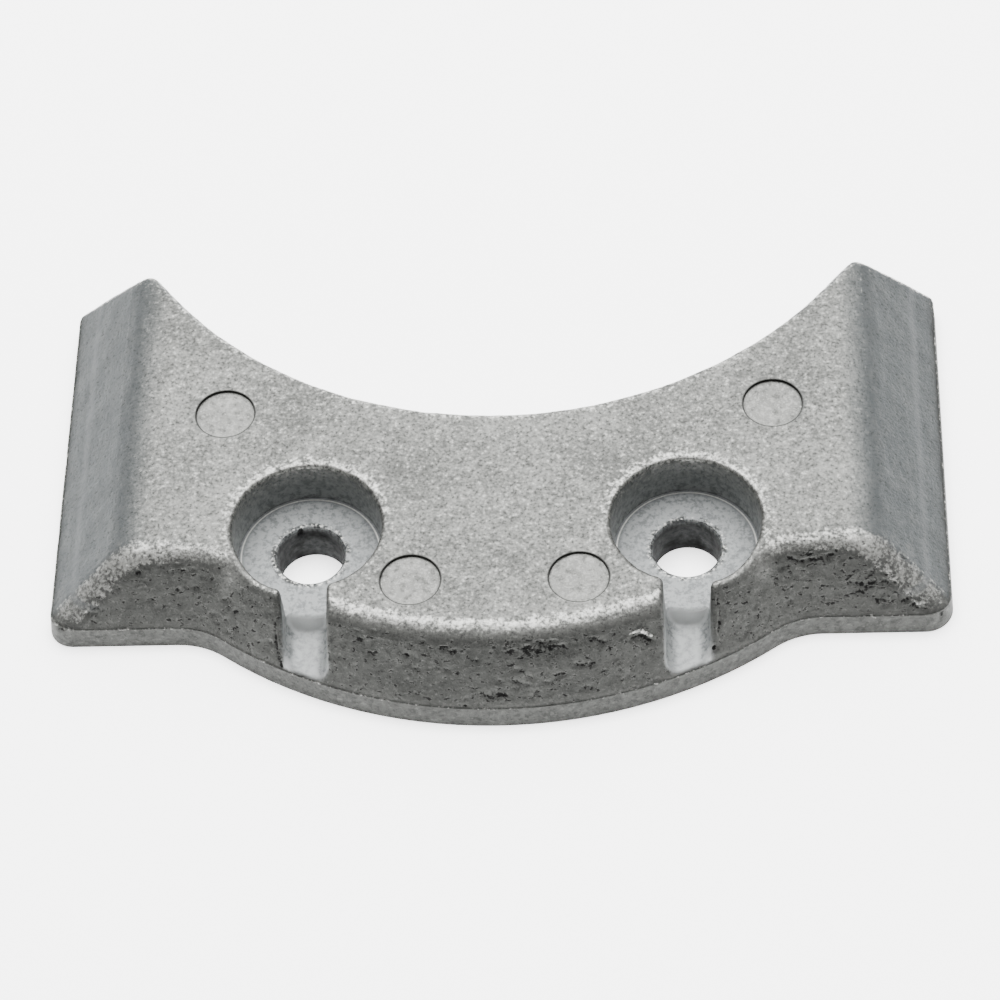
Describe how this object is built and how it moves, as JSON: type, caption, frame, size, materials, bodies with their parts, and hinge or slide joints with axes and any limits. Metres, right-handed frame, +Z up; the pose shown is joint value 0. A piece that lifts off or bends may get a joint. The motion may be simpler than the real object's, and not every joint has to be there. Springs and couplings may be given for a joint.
{
  "type": "sacrificial anode",
  "caption": "Cast sacrificial anode block with a flat mounting face, two counterbored bolt holes with drain channels, sloping sides and a hollow saddle at the back.",
  "frame": {"origin": "midway between the two bolt holes, on the flat mounting face", "axes": "+Z up out of the mounting face, +X along the line of the bolt holes, +Y towards the hollow saddle side"},
  "size_m": [0.12, 0.0694, 0.0125],
  "materials": {
    "cast_metal": "as cast, lightly tumbled"
  },
  "bodies": {
    "root": {"anode_body": "cast_metal"}
  },
  "joints": []
}
